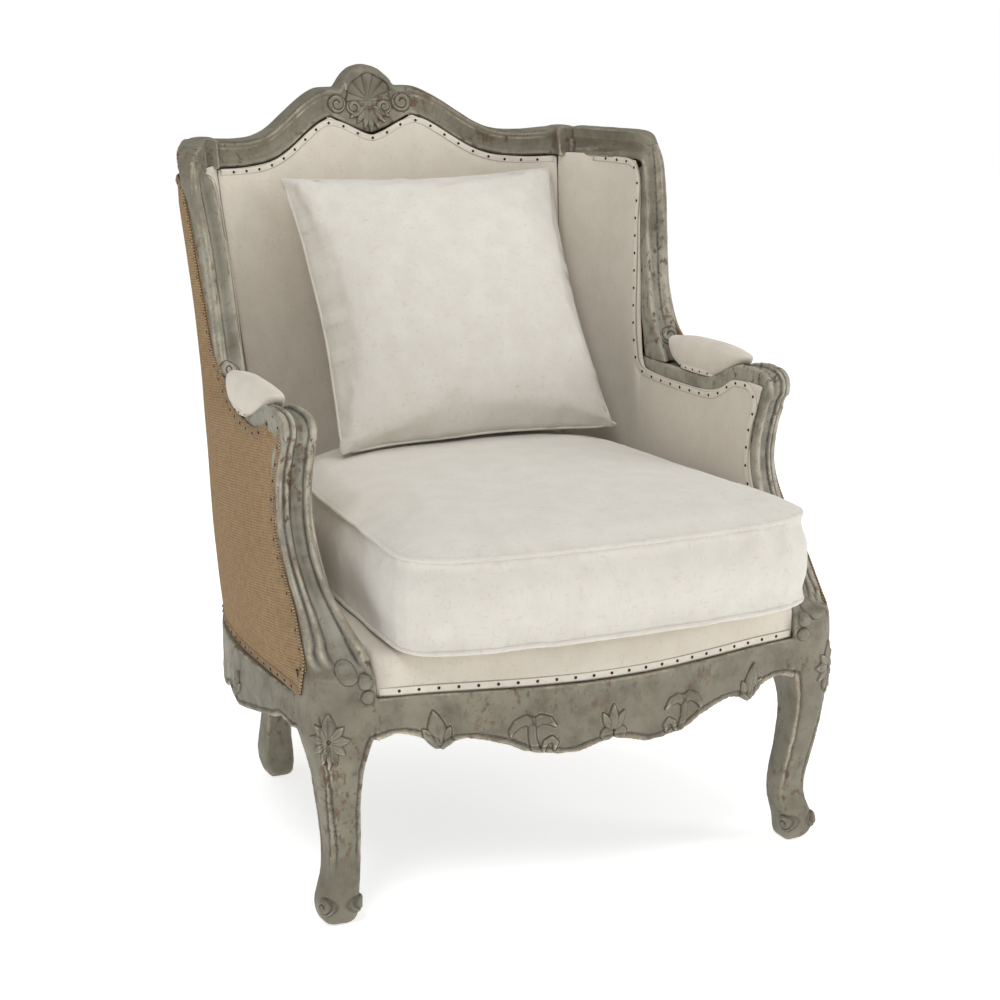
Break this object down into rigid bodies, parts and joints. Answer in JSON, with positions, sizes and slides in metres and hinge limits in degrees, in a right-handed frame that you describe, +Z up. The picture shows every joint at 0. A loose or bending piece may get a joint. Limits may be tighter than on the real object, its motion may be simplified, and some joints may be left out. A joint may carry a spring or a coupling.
{
  "type": "wing-back bergere armchair",
  "caption": "Wide wing-back armchair with a carved wooden frame, padded inside, covered outside, open arm pads, a loose boxed seat cushion and a loose leaning pillow.",
  "frame": {"origin": "on the floor under the middle of the whole chair's width and depth", "axes": "+X to the right as seen from the chair's front, -Y out of the chair's front, +Z up"},
  "size_m": [0.796, 0.9093, 1.055],
  "materials": {
    "painted_wood": "distressed grey-green paint over wood, matt",
    "plain_beech": "bare planed wood",
    "linen": "off-white slubby linen",
    "burlap": "tan open-weave burlap",
    "jute": "woven jute webbing and hessian",
    "black_cloth": "thin black non-woven dust cloth",
    "spring_steel": "drawn steel wire and screws"
  },
  "bodies": {
    "frame": {"front_leg_left": "painted_wood", "front_leg_right": "painted_wood", "rear_post_left": "painted_wood", "rear_post_right": "painted_wood", "front_rail": "painted_wood", "side_rail_left": "painted_wood", "side_rail_right": "painted_wood", "back_rail": "painted_wood", "arm_support_left": "painted_wood", "arm_support_right": "painted_wood", "arm_rail_left": "painted_wood", "arm_rail_right": "painted_wood", "wing_rail_left": "painted_wood", "wing_rail_right": "painted_wood", "crest_rail": "painted_wood", "back_stay_rail": "plain_beech", "side_stay_rail_left": "plain_beech", "side_stay_rail_right": "plain_beech", "corner_blocks": "plain_beech", "corner_block_screws": "spring_steel", "seat_webbing": "jute", "seat_springs": "spring_steel", "spring_hessian": "jute", "seat_platform": "linen", "dust_cover": "black_cloth", "inside_back_pad": "linen", "inside_side_pad_left": "linen", "inside_side_pad_right": "linen", "outside_panel_left": "burlap", "outside_panel_right": "burlap", "outside_back_panel": "burlap", "arm_pad_left": "linen", "arm_pad_right": "linen"},
    "seat_cushion": {"seat_cushion": "linen"},
    "back_pillow": {"back_pillow": "linen"}
  },
  "joints": [
    {"name": "cushion_lift", "type": "slide", "parent": "frame", "child": "seat_cushion", "axis": [0, 0, 1], "range_m": [0, 0.25]},
    {"name": "pillow_lift", "type": "slide", "parent": "seat_cushion", "child": "back_pillow", "axis": [0, 0, 1], "range_m": [0, 0.3]}
  ]
}
